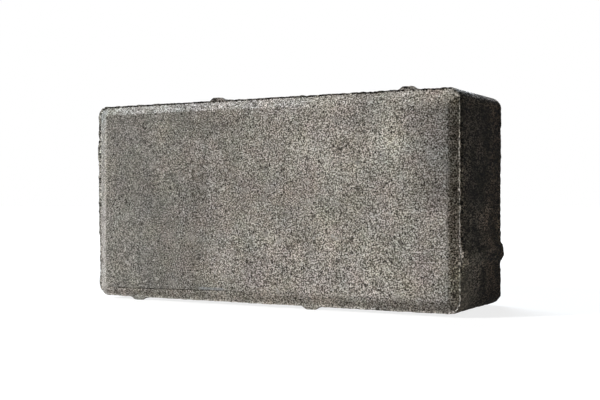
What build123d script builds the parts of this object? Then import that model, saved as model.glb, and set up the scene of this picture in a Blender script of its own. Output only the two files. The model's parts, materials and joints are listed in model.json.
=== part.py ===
"""Vibropressed concrete paving stone with spacer nibs, standing on one long side.

One solid, in millimetres. X runs along the stone, the wear face looks along -Y, and Z is up. The origin is on the
floor under the middle of the stone, which stands on the crests of its two lower nibs.

The stone is drawn as the press makes it, bed face down. The mould gives the plan, with a recess for each nib. The
tamper shoe gives the bevel round the wear face. Concrete squeezed up between shoe and mould leaves the thin rim
outside the bevel, sharp at the side face and sloping in to the foot of the bevel. It widens over the end of each
nib. The finished stone is then turned up on its long side.
"""

import os

from build123d import *

# The block
LENGTH = 198.5  # side face to side face: a 200 module less one joint
WIDTH = 98.5  # side face to side face: a 100 module less one joint
THICKNESS = 60.0  # bed face to wear face
CORNER_RADIUS = 5.5  # the four corners of the plan

# The pressed edge of the wear face
RIM_WIDTH = 0.9  # gap between tamper shoe and mould wall, which the rim fills
RIM_CREST_WIDTH = 0.2  # what is left of that at the top of the rim, along the side face
RIM_RISE = 0.8  # rim above the foot of the bevel
BEVEL_RUN = 4.6  # plan width of the bevel, inside the rim
BEVEL_DROP = 3.0  # wear face down to the foot of the bevel
WEAR_CORNER_RADIUS = 1.5  # corners of the flat wear face
ARRIS_RADIUS = 0.8  # rolled edge between wear face and bevel

# The spacer nibs
NIB_PROUD = 1.5  # crest beyond the side face, the joint that a nib keeps
NIB_ROOT_WIDTH = 9.8  # width where the flanks meet the side face
NIB_CREST_WIDTH = 4.2  # width where the flanks meet the crest
NIB_ROUND = 1.2  # radius at the roots and at the crest
NIB_PAIR_SPACING = 100.0  # between the two nibs of a long side
NIB_PAIR_SHIFT = 24.5  # middle of that pair, from the middle of the side
END_NIB_SHIFT = 24.5  # the one nib of a short side, from the middle of the side
NIB_EMBED = 2.0  # how far a nib's section reaches into the block, so that they fuse

HALF_TURN = Rot(0, 0, 180)
QUARTER_TURN = Rot(0, 0, -90)  # turns a nib drawn for the +Y side to the +X side


def nib_section():
    """Section of one nib, drawn on a side face that lies along X, with its crest towards +Y."""
    root = NIB_ROOT_WIDTH / 2
    crest = NIB_CREST_WIDTH / 2
    tail = root + NIB_ROUND
    outside = FilletPolyline(
        (-tail, 0),
        (-root, 0),
        (-crest, NIB_PROUD),
        (crest, NIB_PROUD),
        (root, 0),
        (tail, 0),
        radius=NIB_ROUND,
    )
    inside = Polyline((tail, 0), (tail, -NIB_EMBED), (-tail, -NIB_EMBED), (-tail, 0))
    return make_face([outside, inside])


def nib_places():
    """Two nibs on a long side and one on a short side, and the same again half a turn round."""
    half_pair = NIB_PAIR_SPACING / 2
    half_set = [
        Pos(NIB_PAIR_SHIFT + half_pair, WIDTH / 2),
        Pos(NIB_PAIR_SHIFT - half_pair, WIDTH / 2),
        Pos(LENGTH / 2, -END_NIB_SHIFT) * QUARTER_TURN,
    ]
    return half_set + [HALF_TURN * place for place in half_set]


def mould_plan():
    """Plan of the stone inside the mould: a rectangle with rounded corners, and its nibs."""
    plan = RectangleRounded(LENGTH, WIDTH, CORNER_RADIUS)
    for place in nib_places():
        plan += place * nib_section()
    return plan


def inset_plan(inset, corner_radius):
    """Rectangle with rounded corners that lies inside the side faces by the same inset all round."""
    return RectangleRounded(LENGTH - 2 * inset, WIDTH - 2 * inset, corner_radius)


def pressed_stone():
    """The stone as it leaves the press: bed face on XY, wear face up."""
    foot = Pos(0, 0, THICKNESS - BEVEL_DROP)
    top = Pos(0, 0, THICKNESS)
    plan = mould_plan()
    shoe = inset_plan(RIM_WIDTH, CORNER_RADIUS - RIM_WIDTH)
    crest = inset_plan(RIM_CREST_WIDTH, CORNER_RADIUS - RIM_CREST_WIDTH)
    wear = inset_plan(RIM_WIDTH + BEVEL_RUN, WEAR_CORNER_RADIUS)

    block = extrude(plan, THICKNESS - BEVEL_DROP)
    rim = foot * (extrude(plan, RIM_RISE) - loft([shoe, Pos(0, 0, RIM_RISE) * crest], ruled=True))
    crown = loft([foot * shoe, top * wear], ruled=True)
    stone = block + rim + crown
    arris = stone.faces().sort_by(Axis.Z)[-1].edges()
    return fillet(arris, ARRIS_RADIUS)


def standing_stone():
    """The stone on its long side: wear face towards -Y, lower nib crests on the floor."""
    bed = Plane(
        origin=(0, THICKNESS / 2, WIDTH / 2 + NIB_PROUD),
        x_dir=(1, 0, 0),
        z_dir=(0, -1, 0),
    )
    return bed * pressed_stone()


paving_stone = standing_stone()
os.makedirs("parts", exist_ok=True)
export_step(paving_stone, "parts/paving_stone.step")
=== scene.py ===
# %% [markdown]
# # A concrete paving stone
#
# The stone is pressed from damp concrete in one stroke. The mould draws its plan, the tamper shoe draws
# the bevelled wear face, and the skin of sand and cement differs from face to face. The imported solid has
# the block, the bevel, the rim and the nibs. This lesson dresses that solid: it lays a fine net of
# squares over the same form, roughens and breaks the net as the press and the yard did, and gives it one
# concrete material.

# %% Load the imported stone
import json
import math

import bpy
import numpy as np
from mathutils import Matrix, Vector, noise


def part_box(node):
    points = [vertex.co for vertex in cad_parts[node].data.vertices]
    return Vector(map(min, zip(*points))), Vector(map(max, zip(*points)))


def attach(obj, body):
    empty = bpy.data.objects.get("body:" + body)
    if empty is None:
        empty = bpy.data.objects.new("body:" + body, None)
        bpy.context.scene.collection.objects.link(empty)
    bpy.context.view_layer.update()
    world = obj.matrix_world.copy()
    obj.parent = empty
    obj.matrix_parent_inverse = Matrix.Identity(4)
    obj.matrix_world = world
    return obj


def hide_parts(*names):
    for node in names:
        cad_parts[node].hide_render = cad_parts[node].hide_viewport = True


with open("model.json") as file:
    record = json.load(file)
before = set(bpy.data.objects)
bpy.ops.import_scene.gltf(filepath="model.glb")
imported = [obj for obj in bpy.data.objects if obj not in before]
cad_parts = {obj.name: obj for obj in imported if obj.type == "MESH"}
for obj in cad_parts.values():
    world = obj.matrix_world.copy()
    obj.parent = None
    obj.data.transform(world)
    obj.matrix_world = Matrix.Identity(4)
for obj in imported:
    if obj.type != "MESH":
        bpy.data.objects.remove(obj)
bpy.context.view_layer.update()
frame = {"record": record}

MM = 0.001  # everything in Blender is in metres
STONE_NODE = "paving_stone"
stone_low, stone_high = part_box(STONE_NODE)
stone_size = stone_high - stone_low
print("stone box, mm:", [round(v / MM, 2) for v in stone_size])

# %% [markdown]
# ## The camera
#
# The photograph was taken from the right of the wear face, with the lens at half the stone's height, so
# upright edges stay upright and the top can't be seen. A camera can be placed by eye. Here its place was
# worked out from the stone's outline in the photograph, and it is given as a distance from the wear face,
# a turn and a focal length.

# %% Place the camera
IMAGE_WIDTH = 600  # pixels of the photograph
FOCAL_PIXELS = 986.3  # focal length, in the same pixels
SENSOR_WIDTH = 36  # millimetres of film, as Blender counts a lens
CAMERA_RIGHT = 239.5 * MM  # from the middle of the stone
CAMERA_BEFORE_WEAR_FACE = 404.1 * MM
CAMERA_ABOVE_MIDDLE = 1.7 * MM
CAMERA_YAW = math.radians(28.33)
CAMERA_PITCH = math.radians(-0.16)
CAMERA_ROLL = math.radians(-0.17)
LEVEL = math.radians(90)  # turns a camera that looks at the floor up to the horizon

middle_height = (stone_low.z + stone_high.z) / 2
camera_place = (CAMERA_RIGHT, stone_low.y - CAMERA_BEFORE_WEAR_FACE, middle_height + CAMERA_ABOVE_MIDDLE)
camera_data = bpy.data.cameras.new("photo_camera")
camera_data.sensor_width = SENSOR_WIDTH
camera_data.lens = FOCAL_PIXELS / IMAGE_WIDTH * SENSOR_WIDTH
camera = bpy.data.objects.new("photo_camera", camera_data)
camera.matrix_world = (
    Matrix.Translation(camera_place)
    @ Matrix.Rotation(CAMERA_YAW, 4, "Z")
    @ Matrix.Rotation(LEVEL + CAMERA_PITCH, 4, "X")
    @ Matrix.Rotation(CAMERA_ROLL, 4, "Z")
)
bpy.context.scene.collection.objects.link(camera)
bpy.context.scene.camera = camera
print("lens, mm:", round(camera_data.lens, 2))

# %% [markdown]
# ## A net of squares over the stone
#
# Roughness needs many small faces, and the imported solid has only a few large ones. It could be remeshed,
# but that would round off the rim, which is under a millimetre wide. So a new net is laid on the same
# form. Its threads run round the stone as rings, from the edge of the bed face along the sides, over the
# rim and up the bevel, and two grids close the bed face and the wear face. Every face is then a square,
# and every edge of the form has a thread on it.

# %% Sizes of the form
NIB_PROUD = 1.5 * MM
NIB_ROOT_WIDTH = 9.8 * MM
NIB_CREST_WIDTH = 4.2 * MM
CORNER_RADIUS = 5.5 * MM
RIM_WIDTH = 0.9 * MM
RIM_CREST_WIDTH = 0.2 * MM
RIM_RISE = 0.8 * MM
BEVEL_RUN = 4.6 * MM
BEVEL_DROP = 3.0 * MM
WEAR_CORNER_RADIUS = 1.5 * MM

half_length = stone_high.x - NIB_PROUD
half_width = stone_size.z / 2 - NIB_PROUD
bed_y = stone_high.y
wear_y = stone_low.y
foot_y = wear_y + BEVEL_DROP
crest_y = foot_y - RIM_RISE
arris_inset = RIM_WIDTH + BEVEL_RUN
print("body, mm:", round(2 * half_length / MM, 2), "x", round(2 * half_width / MM, 2))

# %% The sides, in the order in which a ring passes them
COLUMNS = 240  # squares along the stone
ROWS = 118  # squares across it
SIDES = {
    "bottom": (Vector((1, 0, 0)), Vector((0, 0, -1)), COLUMNS),
    "right": (Vector((0, 0, 1)), Vector((1, 0, 0)), ROWS),
    "top": (Vector((-1, 0, 0)), Vector((0, 0, 1)), COLUMNS),
    "left": (Vector((0, 0, -1)), Vector((-1, 0, 0)), ROWS),
}  # the way along, the way out, and the squares on it
SAME_WAY = 0.5  # two directions agree where their dot product is above this
middle = Vector((0, 0, middle_height))
side_squares = [squares for along, out, squares in SIDES.values()]
ring_size = sum(side_squares)


def nib_places(side):
    """Where the nibs of a side stand, along it, from the mounts that the record states on their crests."""
    along, out, squares = SIDES[side]
    places = []
    for mount in frame["record"]["mounts"]:
        if "nib" in mount["name"] and Vector(mount["axis"]).dot(out) > SAME_WAY:
            places.append((Vector(mount["pos_m"]) - middle).dot(along))
    return places


for side in SIDES:
    print(side, "nibs at, mm:", [round(p / MM, 1) for p in nib_places(side)])

# %% One side of a ring


def smooth_step(share):
    """0 to 1 with a soft start and a soft end."""
    share = np.clip(share, 0, 1)
    return share * share * (3 - 2 * share)


def side_points(side, inset, corner):
    """Points of a ring on one side: how far along it they lie, and how far out."""
    along, out, squares = SIDES[side]
    on_long_side = squares == COLUMNS
    reach = (half_length if on_long_side else half_width) - inset
    distance = (half_width if on_long_side else half_length) - inset
    half_arc = corner * math.pi / 4
    straight = 2 * (reach - corner)
    run = np.arange(squares) / squares * (straight + 2 * half_arc)
    before = np.clip(half_arc - run, 0, None)
    after = np.clip(run - half_arc - straight, 0, None)
    turn = (before - after) / corner
    centre = np.clip(run - half_arc, 0, straight) - straight / 2
    return centre - corner * np.sin(turn), distance - corner + corner * np.cos(turn)


print("points on the top side:", len(side_points("top", 0, CORNER_RADIUS)[0]))

# %% [markdown]
# ## The nibs
#
# Six small ridges keep the joint open between this stone and the next. They run the whole depth of the
# sides, so a ring has only to swell where it passes one. All are worn: the one on the right end is lower
# at its front, the one on the left end is chipped narrower there, and those on the long sides dip a
# little way behind the rim. Separate pieces would show a seam. As part of the ring, wear is only a share
# that changes with depth.

# %% How far a nib stands out
NIB_WEAR_REACH = 5 * MM  # how far back from the rim the worn fronts reach
WORN_NIB_SIDE = "right"
WORN_NIB_LOSS_SHARE = 0.35  # of its height
CHIPPED_NIB_SIDE = "left"
CHIPPED_NIB_LOSS_SHARE = 0.15  # of its width
NIB_DIP_SHARE = 0.4  # of the height, on the long sides
NIB_DIP_FROM = 1 * MM  # behind the rim
NIB_DIP_FADE = 3 * MM
NIB_DIP_TO = 16 * MM
NIB_DIP_RISE = 12 * MM


def nib_swell(side, place, y):
    """How far a ring stands out over the nibs of one side."""
    behind = y - crest_y
    near_front = smooth_step(1 - behind / NIB_WEAR_REACH)
    dip = smooth_step((behind - NIB_DIP_FROM) / NIB_DIP_FADE)
    dip *= smooth_step(1 - (behind - NIB_DIP_TO) / NIB_DIP_RISE)
    proud = NIB_PROUD * (1 - WORN_NIB_LOSS_SHARE * near_front * (side == WORN_NIB_SIDE))
    proud *= 1 - NIB_DIP_SHARE * dip * (SIDES[side][2] == COLUMNS)
    root = NIB_ROOT_WIDTH * (1 - CHIPPED_NIB_LOSS_SHARE * near_front * (side == CHIPPED_NIB_SIDE))
    flank = (NIB_ROOT_WIDTH - NIB_CREST_WIDTH) / 2
    swell = np.zeros(len(place))
    for nib in nib_places(side):
        swell += proud * smooth_step((root / 2 - abs(place - nib)) / flank)
    return swell


worn_front = nib_swell(WORN_NIB_SIDE, side_points(WORN_NIB_SIDE, 0, CORNER_RADIUS)[0], crest_y)
print("nibs stand out, mm:", NIB_PROUD / MM, "and at the worn front:", round(float(worn_front.max()) / MM, 2))

# %% Rings that swell over the nibs


def ring(inset, corner, y, with_nibs):
    """One thread of the net: an outline at an inset from the side faces, at one depth."""
    points = []
    for side, (along, out, squares) in SIDES.items():
        place, distance = side_points(side, inset, corner)
        if with_nibs:
            distance = distance + nib_swell(side, place, y)
        plan = np.outer(place, along) + np.outer(distance, out)
        points.append(plan + np.array((0, y, middle_height)))
    return np.concatenate(points)


print("a ring has", ring_size, "points")

# %% All rings, from the bed face to the wear face
BED_EDGE = 6 * MM  # finer rows near the bed face
RIM_EDGE = 8 * MM  # and near the rim
BED_ROWS = 6
WALL_ROWS = 22
RIM_ROWS = 10
WALL_DEPTHS = np.concatenate([
    np.linspace(bed_y, bed_y - BED_EDGE, BED_ROWS, endpoint=False),
    np.linspace(bed_y - BED_EDGE, crest_y + RIM_EDGE, WALL_ROWS, endpoint=False),
    np.linspace(crest_y + RIM_EDGE, crest_y, RIM_ROWS + 1),
])
BEVEL_SHARES = (0.05, 0.18, 0.34, 0.51, 0.68, 0.84, 0.94, 1.0)  # rings up the bevel
ARRIS_STEP = 0.35 * MM  # one more ring inside the wear face, which holds its edge

rings = [ring(0, CORNER_RADIUS, y, True) for y in WALL_DEPTHS]
rings.append(ring(RIM_CREST_WIDTH, CORNER_RADIUS - RIM_CREST_WIDTH, crest_y, False))
foot_corner = CORNER_RADIUS - RIM_WIDTH
rings.append(ring(RIM_WIDTH, foot_corner, foot_y, False))
for share in BEVEL_SHARES:
    corner = foot_corner + (WEAR_CORNER_RADIUS - foot_corner) * share
    rings.append(ring(RIM_WIDTH + BEVEL_RUN * share, corner, foot_y - BEVEL_DROP * share, False))
rings.append(ring(arris_inset + ARRIS_STEP, WEAR_CORNER_RADIUS, wear_y, False))
rings = np.array(rings)
crest_ring = len(WALL_DEPTHS) - 1
foot_ring = crest_ring + 2
arris_ring = foot_ring + len(BEVEL_SHARES)
print("rings:", len(rings), "of which on the sides:", len(WALL_DEPTHS))

# %% [markdown]
# ## A bevel that isn't quite even
#
# The tamper shoe has play in the mould. On this stone the bevels above and below are narrower towards the
# left end, and the left bevel is wider near the top. A lattice could pull the wear face about, but it
# would bend the sides too. So the rings of the bevel are drawn out a little, more the higher they lie on
# it. The nibs, the sides and the overall size don't change.

# %% Shift the arris
NARROW = 0.8 * MM  # what the upper and lower bevels lose towards the left end
NARROW_FROM = {"upper": 30 * MM, "lower": -20 * MM}  # from the middle of the stone
NARROW_RUN = 60 * MM  # from there to the full loss
WIDE = 0.9 * MM  # what the left bevel gains near the top
WIDE_LEAST = 0.4 * MM  # and near the floor
WIDE_FROM = 48 * MM  # above the floor
WIDE_TO = 68 * MM


def narrowed(points):
    """How much nearer to the edge the upper and lower arris lie."""
    start = np.where(points[..., 2] > middle_height, NARROW_FROM["upper"], NARROW_FROM["lower"])
    return NARROW * smooth_step((start - points[..., 0]) / NARROW_RUN)


def widened(points):
    """How much further in the left arris lies."""
    height_share = smooth_step((points[..., 2] - WIDE_FROM) / (WIDE_TO - WIDE_FROM))
    return WIDE_LEAST + (WIDE - WIDE_LEAST) * height_share


for number, share in enumerate(BEVEL_SHARES + (1.0,), foot_ring + 1):
    across_share = (rings[number, :, 2] - middle_height) / half_width
    left_share = smooth_step(-rings[number, :, 0] / half_length)
    lift = narrowed(rings[number]) * across_share * share
    push = widened(rings[number]) * left_share * share
    rings[number, :, 2] += lift
    rings[number, :, 0] += push
bevel_widths = (BEVEL_RUN - NARROW, BEVEL_RUN + WIDE)
print("bevel, mm, at least and at most:", [round(v / MM, 2) for v in bevel_widths])

# %% [markdown]
# ## The torn rim
#
# Damp concrete squeezes up between shoe and mould and dries as a thin fin. It breaks off in lengths when
# stones are stacked, so it is tall along the top of this stone, low along the bottom and the right, and
# broken off at the lower left. It could be sculpted by hand. Smooth noise along the ring does it too, and
# gives the same rim each time the lesson runs.

# %% Noise helpers
RIM_DASH = 4 * MM  # length of the pieces that the rim breaks into
LAYER_FALL = 1.0  # each layer of noise is half as strong as the one before
LAYER_STEP = 2.0  # and half as large


def lumps(points, size, layers=2, draw=0):
    """Smooth noise from 0 to 1, with lumps of about this size. Another draw gives other lumps."""
    places = ((points + draw) / size).tolist()
    values = [noise.fractal(p, LAYER_FALL, LAYER_STEP, layers) for p in places]
    return np.clip((np.array(values) + 1) / 2, 0, 1)


def wander(points, size, layers=2, draw=0):
    """The same noise from -1 to 1."""
    return 2 * lumps(points, size, layers, draw) - 1


def stretch(place, start, end, soft):
    """1 between start and end, falling softly to 0 outside."""
    return smooth_step((place - start) / soft + 1) * smooth_step((end - place) / soft + 1)


crest_line = rings[crest_ring].copy()
print("lumps along the rim, mean:", round(float(lumps(crest_line, RIM_DASH).mean()), 2))

# %% A value for each side, passed softly from one to the next
CORNER_POINTS = 9  # points of the ring over which it passes


def round_the_ring(side_values):
    """One value for each point of a ring, from one for each side."""
    values = np.repeat([side_values[side] for side in SIDES], side_squares)
    wrapped = np.concatenate([values[-CORNER_POINTS:], values, values[:CORNER_POINTS]])
    even = np.ones(CORNER_POINTS) / CORNER_POINTS
    return np.convolve(wrapped, even, "same")[CORNER_POINTS:-CORNER_POINTS]


RIM_SHARES = {"bottom": 0.35, "right": 0.45, "top": 1.0, "left": 0.3}  # of the full height
rim_keep = round_the_ring(RIM_SHARES)
print("rim before it breaks, share:", round(float(rim_keep.mean()), 2))

# %% How much of the rim still stands
RIM_GONE_BELOW = 45 * MM  # on the left, above the floor
RIM_GONE_SOFT = 8 * MM
RIM_LEAST_SHARE = 0.1
RIM_CRUMB = 1.4 * MM
RIM_DASH_SHARE = 1.8
RIM_CRUMB_SHARE = 0.7
NIB_END_LOSS_SHARE = 0.6  # the rim is knocked off the ends of all nibs but the one at the right

on_left = crest_line[:, 0] < -half_length + CORNER_RADIUS / 2
rim_keep *= 1 - on_left * smooth_step((RIM_GONE_BELOW - crest_line[:, 2]) / RIM_GONE_SOFT)
rim_keep *= 1 + RIM_DASH_SHARE * wander(crest_line, RIM_DASH)
rim_keep *= 1 + RIM_CRUMB_SHARE * wander(crest_line, RIM_CRUMB, 1, draw=1)
knocked_nibs = np.concatenate([
    nib_swell(side, side_points(side, 0, CORNER_RADIUS)[0], bed_y) * (side != WORN_NIB_SIDE) for side in SIDES
])
rim_keep *= 1 - NIB_END_LOSS_SHARE * knocked_nibs / NIB_PROUD
rim_keep = np.clip(rim_keep, RIM_LEAST_SHARE, 1)
print("rim left standing, share:", round(float(rim_keep.mean()), 2))

# %% How thin it is
RIM_THINNED = {"bottom": 0.1 * MM, "right": 0.3 * MM, "top": 0.25 * MM, "left": 0.5 * MM}

thinned = round_the_ring(RIM_THINNED)
plan_out = crest_line - rings[foot_ring]
plan_out[:, 1] = 0
plan_out /= np.linalg.norm(plan_out, axis=1)[:, None]
for number, share in enumerate((0.0,) + BEVEL_SHARES, foot_ring):
    rings[number] += plan_out * (thinned * (1 - share))[:, None]
print("rim at the left, mm:", round((RIM_WIDTH - RIM_THINNED["left"]) / MM, 2))

# %% Its ragged edge, seen from the front
RAGGED = 0.35 * MM  # how far the edge wanders
RAGGED_CRUMB = 1.6 * MM
CALM_EDGE_SHARE = 0.5  # what the lower edge, which was cut cleaner, has less of that
LEFT_RAGGED = 0.45 * MM  # how much more the left edge wanders
LEFT_SOFT = 5 * MM
BROKEN = 0.5 * MM  # how far in the broken stretch on the left lies
BROKEN_FROM = 14 * MM  # above the floor
BROKEN_TO = 30 * MM
FIN = 0.85 * MM  # how far the fin on the left leans out
FIN_FROM = 8 * MM
FIN_TO = 98 * MM

height = crest_line[:, 2]
lowness = smooth_step((middle_height - half_width + CORNER_RADIUS - height) / CORNER_RADIUS)
edge_out = RAGGED * (1 - CALM_EDGE_SHARE * lowness) * wander(crest_line, RAGGED_CRUMB, draw=2)
edge_out -= on_left * BROKEN * stretch(height, BROKEN_FROM, BROKEN_TO, LEFT_SOFT)
edge_out += on_left * FIN * stretch(height, FIN_FROM, FIN_TO, LEFT_SOFT)
edge_out += on_left * LEFT_RAGGED * wander(crest_line, RAGGED_CRUMB, 1, draw=4)
print("edge wanders, mm:", round(float(edge_out.min()) / MM, 2), "to", round(float(edge_out.max()) / MM, 2))

# %% Rub it in at the right, between corner and nib
RUBBED = 0.45 * MM
RUBBED_CREST = 0.3 * MM  # what the crest gains in width
RUBBED_RAGGED = 0.25 * MM  # how much more that edge wanders

rightness = smooth_step((crest_line[:, 0] - half_length + CORNER_RADIUS) / CORNER_RADIUS)
edge_out -= RUBBED * rightness * smooth_step(1 - (crest_line[:, 0] - half_length) / NIB_PROUD)
edge_out += RUBBED_RAGGED * rightness * wander(crest_line, RIM_CRUMB, 1, draw=3)
rings[crest_ring + 1] -= plan_out * (RUBBED_CREST * rightness)[:, None]
print("points rubbed in:", int((rightness > 0).sum()))

# %% Move the rings to that edge
RIM_REACH = 3 * MM  # how far down the side all this is felt

pushed_in = np.minimum(edge_out - RUBBED_CREST * rightness, 0)
for number, share in enumerate((0.0,) + BEVEL_SHARES, foot_ring):
    rings[number] += plan_out * (pushed_in * (1 - share))[:, None]
for number in range(crest_ring + 2):
    behind = WALL_DEPTHS[min(number, crest_ring)] - crest_y
    felt = smooth_step(1 - behind / RIM_REACH)
    rings[number, :, 1] += RIM_RISE * (1 - rim_keep) * felt
    rings[number] += plan_out * (edge_out * felt)[:, None]
print("foot of the bevel pushed in, mm, at most:", round(-float(pushed_in.min()) / MM, 2))

# %% [markdown]
# ## Corners that lean out
#
# Seen from the right, the corners of this stone spread by some tenths of a millimetre towards the bed
# face, where the fresh concrete sagged after it left the mould. A lattice could bend the stone. Only two
# corners need it, so the rings are shifted there, a little more with each step back from the wear face.

# %% Lean the right corners out towards the bed face
LEAN_DOWN = 0.6 * MM  # the lower corner
LEAN_UP = 0.2 * MM  # the upper corner
LEAN_OUT = 0.35 * MM  # the upper half of the end
LEAN_FROM = -16 * MM  # along Y
LEAN_RIGHT = 70 * MM  # from the middle of the stone
LEAN_RUN = 25 * MM

for number in range(crest_ring + 1):
    lean = smooth_step((WALL_DEPTHS[number] - LEAN_FROM) / (bed_y - LEAN_FROM))
    x, y, z = rings[number].T
    right_share = smooth_step((x - LEAN_RIGHT) / LEAN_RUN)
    end_share = smooth_step((x - half_length + CORNER_RADIUS) / CORNER_RADIUS)
    low_share = smooth_step((middle_height - half_width + 2 * CORNER_RADIUS - z) / CORNER_RADIUS)
    high_share = smooth_step((z - middle_height - half_width + 2 * CORNER_RADIUS) / CORNER_RADIUS)
    upper_share = smooth_step((z - middle_height) / LEAN_RUN)
    rings[number, :, 0] += lean * LEAN_OUT * end_share * upper_share
    rings[number, :, 2] += lean * right_share * (LEAN_UP * high_share - LEAN_DOWN * low_share)
print("corners lean out, mm:", round(LEAN_UP / MM, 2), "and", round(LEAN_DOWN / MM, 2))

# %% [markdown]
# ## A step under the lower arris
#
# Along the left of the lower bevel the shoe caught and left a thin dark step just under the arris. A dark
# line could be painted there, but it is a real ledge and has to catch the light from any side. So the two
# rings below the arris are lowered.

# %% Cut the step
STEP_DROP = 0.4 * MM
STEP_FROM = -97 * MM  # from the middle of the stone
STEP_TO = -35 * MM
STEP_START = 1 * MM
STEP_FADE = 40 * MM

below = rings[arris_ring - 1]
on_bottom = below[:, 2] < middle_height - half_width + arris_inset
start = smooth_step((below[:, 0] - STEP_FROM) / STEP_START)
step = STEP_DROP * on_bottom * start * smooth_step(1 - (below[:, 0] - STEP_TO) / STEP_FADE)
rings[arris_ring - 1, :, 1] += step
rings[arris_ring - 2, :, 1] += step / 2
print("step under", int((step > STEP_DROP / 2).sum()), "points")

# %% [markdown]
# ## Closing the two faces
#
# The first ring bounds the bed face and the last one bounds the flat of the wear face. A face with
# hundreds of corners would shade badly and could not be roughened. A grid between the four sides of the
# ring can: each inner point is blended from the points across from it, which keeps the squares even right
# into the corners.

# %% Grids inside a ring


def closing_grid(border):
    """A grid of points that fills a ring, with its border on the ring."""
    corners = np.cumsum(side_squares)
    bottom = border[: corners[0] + 1]
    right = border[corners[0] : corners[1] + 1]
    top = border[corners[1] : corners[2] + 1][::-1]
    left = np.concatenate([border[corners[2] :], border[:1]])[::-1]
    u = np.linspace(0, 1, COLUMNS + 1)[:, None, None]
    v = np.linspace(0, 1, ROWS + 1)[None, :, None]
    across = (1 - v) * bottom[:, None] + v * top[:, None]
    up = (1 - u) * left[None] + u * right[None]
    near_ends = (1 - v) * ((1 - u) * bottom[0] + u * bottom[-1]) + v * ((1 - u) * top[0] + u * top[-1])
    return across + up - near_ends


ring_points = rings.reshape(-1, 3)
wear_inside = closing_grid(rings[-1])[1:-1, 1:-1].reshape(-1, 3)
bed_inside = closing_grid(rings[0])[1:-1, 1:-1].reshape(-1, 3)
form = np.concatenate([ring_points, wear_inside, bed_inside])
wear_start = len(ring_points)
bed_start = wear_start + len(wear_inside)
print("points of the net:", len(form))

# %% [markdown]
# ## What each part of the surface is
#
# The press leaves a different skin on each face. The tamper shoe packs the bevel until it is dense and
# pale. The wear face is sandy. The sides are dragged along the mould wall as the stone is pushed out, so
# they are rough and streaked, and the bed face is open and coarse. Masks could be painted by hand or
# found from the direction that a face looks in. Here each ring already knows where it lies, so the masks
# are written with the net.

# %% Masks for the skins
ring_number = np.full(len(form), -1)
ring_number[:wear_start] = np.repeat(np.arange(len(rings)), ring_size)
inside_wear = np.zeros(len(form), bool)
inside_wear[wear_start:bed_start] = True
inside_bed = np.zeros(len(form), bool)
inside_bed[bed_start:] = True

on_wall = ((ring_number >= 0) & (ring_number <= crest_ring)).astype(float)
on_rim = ((ring_number >= crest_ring) & (ring_number <= foot_ring)).astype(float)
on_bevel = ((ring_number > foot_ring) & (ring_number < arris_ring)).astype(float)
on_wear = (inside_wear | (ring_number >= arris_ring)).astype(float)
on_bed = (inside_bed | (ring_number == 0)).astype(float)
skins = {"wear": on_wear, "bevel": on_bevel, "rim": on_rim, "sides": on_wall, "bed": on_bed}
for name, mask in skins.items():
    print("points on", name, int(mask.sum()))

# %% [markdown]
# ## A worn arris
#
# The edge between bevel and wear face is crisp at the left end and rubbed round at the right end. A bevel
# modifier gives one radius to a whole edge. Here every point near the arris is let down by a parabola
# that touches both faces, and the reach of the parabola grows from left to right.

# %% Round the arris
ARRIS_CRISP = 0.7 * MM  # reach of the rounding at the left
ARRIS_SOFT = 2.2 * MM  # at the upper right
ARRIS_LOW = 1.2 * MM  # at the lower right
ARRIS_RISE = 25 * MM  # above the middle, from the one to the other
ARRIS_FROM = -50 * MM  # from the middle of the stone
ARRIS_TO = 60 * MM
ARRIS_KNOCK = 9 * MM  # length of the knocks that make it uneven
ARRIS_KNOCK_SHARE = 0.5

inside_right = half_length - form[:, 0] - arris_inset
inside_left = half_length + form[:, 0] - arris_inset - widened(form)
inside_long = half_width - abs(form[:, 2] - middle_height) - arris_inset + narrowed(form)
from_arris = abs(np.minimum(np.minimum(inside_right, inside_left), inside_long))
rightward = smooth_step((form[:, 0] - ARRIS_FROM) / (ARRIS_TO - ARRIS_FROM))
upper = smooth_step((form[:, 2] - middle_height) / ARRIS_RISE)
widest = ARRIS_LOW + (ARRIS_SOFT - ARRIS_LOW) * upper
reach = ARRIS_CRISP + (widest - ARRIS_CRISP) * rightward
reach *= 1 + ARRIS_KNOCK_SHARE * wander(form, ARRIS_KNOCK)
let_down = BEVEL_DROP / BEVEL_RUN * np.clip(reach - from_arris, 0, None) ** 2 / (4 * reach)
form[:, 1] += (on_wear + on_bevel) * let_down
print("arris let down, mm, at most:", round(float(let_down.max()) / MM, 2))

# %% [markdown]
# ## Roughness that can be felt
#
# A pressed surface is never flat: it has a slow wave, lumps the size of its stone chips, and a sandy
# grit. Where a chip came out, it has a pit. A displacement modifier could do this, but then all of it
# would move along one texture. Moving the points in code lets each skin have its own roughness, and a
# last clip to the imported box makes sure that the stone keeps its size.

# %% Ways to make roughness
WAVE = 38 * MM
CHIP = 4.5 * MM
GRIT = 1.7 * MM
DRAG = 2.2 * MM
DRAG_SHARES = np.array((1.0, 0.05, 1.0))  # the stone leaves the mould along Y, which draws marks out
PRESS_SEED = 60  # another seed would lay the sand in another way

press_random = np.random.default_rng(PRESS_SEED)
slow_wave = lumps(form, WAVE)
chip_lumps = lumps(form, CHIP, draw=1)
grit_lumps = lumps(form, GRIT, 1, draw=2)
drag_marks = lumps(form * DRAG_SHARES, DRAG)
sand = press_random.random(len(form))
print("mean of wave, chips, grit:", [round(float(a.mean()), 2) for a in (slow_wave, chip_lumps, grit_lumps)])

# %% Pits where a chip came out
PITS = (
    (-65.6, 9.7, 1.0),
    (-25.6, 13.4, 1.5),
    (5.9, 17.1, 1.0),
    (-51.6, 90.8, 0.9),
    (-26.5, 86.9, 1.1),
)  # across, up and radius, in millimetres
PIT_DEPTH = 0.45 * MM
PIT_STEEPNESS = 1.5

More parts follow.
